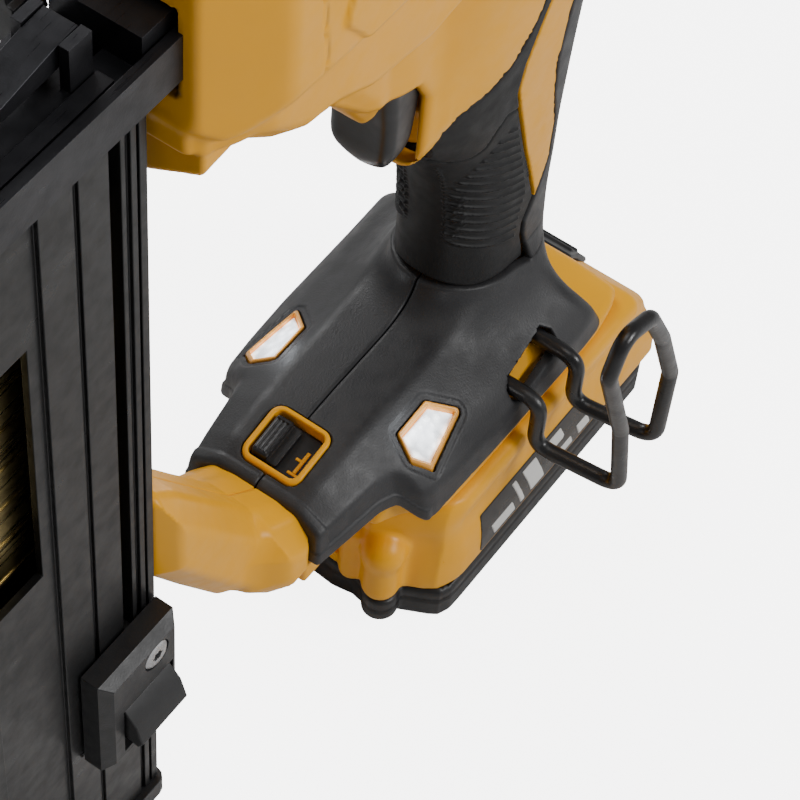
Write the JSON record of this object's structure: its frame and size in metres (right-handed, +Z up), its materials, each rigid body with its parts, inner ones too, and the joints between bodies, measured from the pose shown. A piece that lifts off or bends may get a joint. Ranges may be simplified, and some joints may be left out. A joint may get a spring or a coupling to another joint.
{
  "type": "cordless brad nailer",
  "caption": "Battery-powered brad nailer with a pistol grip, straight nail magazine, work lights and mode selector in the foot, slide-on battery and wire belt hook.",
  "frame": {"origin": "on the flat underside of the battery, below the handle's axis, on the tool's middle plane", "axes": "+Z up the handle from battery to head; the nose and the nail's path point to -X; the tool's left side faces -Y"},
  "size_m": [0.273, 0.1031, 0.319],
  "materials": {
    "yellow_shell": "satin moulded yellow plastic",
    "charcoal_shell": "fine-textured dark grey plastic",
    "black_plastic": "satin black plastic",
    "black_rubber": "moulded rubber",
    "black_oxide_steel": "blackened steel",
    "black_coated_steel": "black coated steel",
    "bare_steel": "machined steel",
    "amber_plastic": "amber plastic",
    "spring_steel": "spring wire",
    "cast_aluminium": "die cast",
    "copper_winding": "lacquered copper winding",
    "circuit_board": "solder mask",
    "led_lens": "clear frosted lens",
    "cell_sleeve": "shrink sleeve",
    "black_anodised": "black anodised extrusion",
    "nail_brass": "glued brad wire"
  },
  "bodies": {
    "tool": {"back_strap": "charcoal_shell", "bumper": "black_rubber", "control_board": "circuit_board", "drive_frame": "cast_aluminium", "flywheel_bearing_left": "bare_steel", "flywheel_bearing_right": "bare_steel", "foot_cover_left": "charcoal_shell", "foot_cover_right": "charcoal_shell", "handle_grip": "black_rubber", "housing_left": "yellow_shell", "housing_right": "yellow_shell", "led_bezel_left": "amber_plastic", "led_bezel_right": "amber_plastic", "led_lens_left": "led_lens", "led_lens_right": "led_lens", "magazine_channel": "black_anodised", "magazine_end_cap": "black_plastic", "magazine_rail": "bare_steel", "mode_bezel": "yellow_shell", "motor_stator": "copper_winding", "nose_block": "black_oxide_steel", "pusher_spring": "spring_steel", "rear_cap": "charcoal_shell", "return_rail_left": "bare_steel", "return_rail_right": "bare_steel", "return_spring_left": "spring_steel", "return_spring_right": "spring_steel", "solenoid_body": "black_oxide_steel", "terminal_block": "black_plastic", "trigger_spring": "spring_steel", "trigger_switch": "black_plastic", "trip_spring": "spring_steel"},
    "trigger": {"trigger": "black_plastic"},
    "lock_off": {"lock_off_button": "black_plastic"},
    "mode_slider": {"mode_slider": "black_plastic"},
    "contact": {"contact_trip": "bare_steel", "no_mar_tip": "amber_plastic"},
    "depth_wheel": {"depth_wheel": "black_plastic"},
    "driver": {"driver": "bare_steel"},
    "flywheel": {"flywheel": "bare_steel"},
    "pinch_arm": {"pinch_arm": "black_oxide_steel"},
    "pinch_roller": {"pinch_roller": "bare_steel"},
    "plunger": {"solenoid_plunger": "bare_steel"},
    "jam_door": {"jam_door": "bare_steel"},
    "jam_latch": {"jam_latch": "black_coated_steel"},
    "stall_lever": {"stall_lever": "black_plastic"},
    "pusher": {"pusher": "black_coated_steel", "pusher_screw": "bare_steel"},
    "nail_strip": {"nail_strip": "nail_brass"},
    "pusher_latch": {"pusher_latch": "black_plastic"},
    "battery": {"pack_top": "yellow_shell", "pack_base": "black_plastic", "cell_1": "cell_sleeve", "cell_2": "cell_sleeve", "cell_3": "cell_sleeve", "cell_4": "cell_sleeve", "cell_5": "cell_sleeve"},
    "pack_button": {"pack_button": "black_plastic"},
    "belt_hook": {"belt_hook": "black_coated_steel"}
  },
  "joints": [
    {"name": "trigger_pull", "type": "hinge", "parent": "tool", "child": "trigger", "pos_m": [-0.034, 0, 0.209], "axis": [0, -1, 0], "range_deg": [0, 8], "deforming": ["trigger_spring"]},
    {"name": "lock_off_push", "type": "slide", "parent": "tool", "child": "lock_off", "axis": [0, 1, 0], "range_m": [0, 0.003]},
    {"name": "mode_select", "type": "slide", "parent": "tool", "child": "mode_slider", "axis": [0, -1, 0], "range_m": [0, 0.0058]},
    {"name": "contact_press", "type": "slide", "parent": "tool", "child": "contact", "axis": [1, 0, 0], "range_m": [0, 0.009], "deforming": ["trip_spring"]},
    {"name": "depth_turn", "type": "hinge", "parent": "tool", "child": "depth_wheel", "pos_m": [-0.1425, 0.0216, 0.282], "axis": [1, 0, 0], "range_deg": [0, 270]},
    {"name": "driver_stroke", "type": "slide", "parent": "tool", "child": "driver", "axis": [-1, 0, 0], "range_m": [0, 0.062], "deforming": ["return_spring_left", "return_spring_right"]},
    {"name": "flywheel_spin", "type": "hinge", "parent": "tool", "child": "flywheel", "pos_m": [-0.072, 0, 0.2576], "axis": [0, 1, 0], "continuous": true},
    {"name": "pinch_swing", "type": "hinge", "parent": "tool", "child": "pinch_arm", "pos_m": [-0.044, 0, 0.293], "axis": [0, -1, 0], "range_deg": [0, 2]},
    {"name": "roller_spin", "type": "hinge", "parent": "pinch_arm", "child": "pinch_roller", "pos_m": [-0.072, 0, 0.2932], "axis": [0, 1, 0], "continuous": true},
    {"name": "plunger_push", "type": "slide", "parent": "tool", "child": "plunger", "axis": [-1, 0, 0], "range_m": [0, 0.001]},
    {"name": "jam_door_open", "type": "hinge", "parent": "tool", "child": "jam_door", "pos_m": [-0.1885, 0, 0.2896], "axis": [0, -1, 0], "range_deg": [0, 60]},
    {"name": "jam_latch_lift", "type": "hinge", "parent": "jam_door", "child": "jam_latch", "pos_m": [-0.1538, 0, 0.2954], "axis": [0, 1, 0], "range_deg": [0, 100]},
    {"name": "stall_lever_lift", "type": "hinge", "parent": "tool", "child": "stall_lever", "pos_m": [-0.041, 0, 0.3126], "axis": [0, 1, 0], "range_deg": [0, 25]},
    {"name": "pusher_slide", "type": "slide", "parent": "tool", "child": "pusher", "axis": [0, 0, 1], "range_m": [0, 0.0415], "deforming": ["pusher_spring"]},
    {"name": "nail_feed", "type": "slide", "parent": "tool", "child": "nail_strip", "axis": [0, 0, 1], "range_m": [0, 0.0415]},
    {"name": "pusher_latch_press", "type": "hinge", "parent": "pusher", "child": "pusher_latch", "pos_m": [-0.1509, -0.0146, 0.0776], "axis": [1, 0, 0], "range_deg": [0, 10]},
    {"name": "battery_slide", "type": "slide", "parent": "tool", "child": "battery", "axis": [1, 0, 0], "range_m": [0, 0.09]},
    {"name": "pack_button_press", "type": "slide", "parent": "battery", "child": "pack_button", "axis": [0, 0, -1], "range_m": [0, 0.003]},
    {"name": "belt_hook_pull", "type": "slide", "parent": "tool", "child": "belt_hook", "axis": [0, -1, 0], "range_m": [0, 0.014]}
  ],
  "couplings": [
    {"joint": "nail_feed", "follows": "pusher_slide", "ratio": 1}
  ]
}
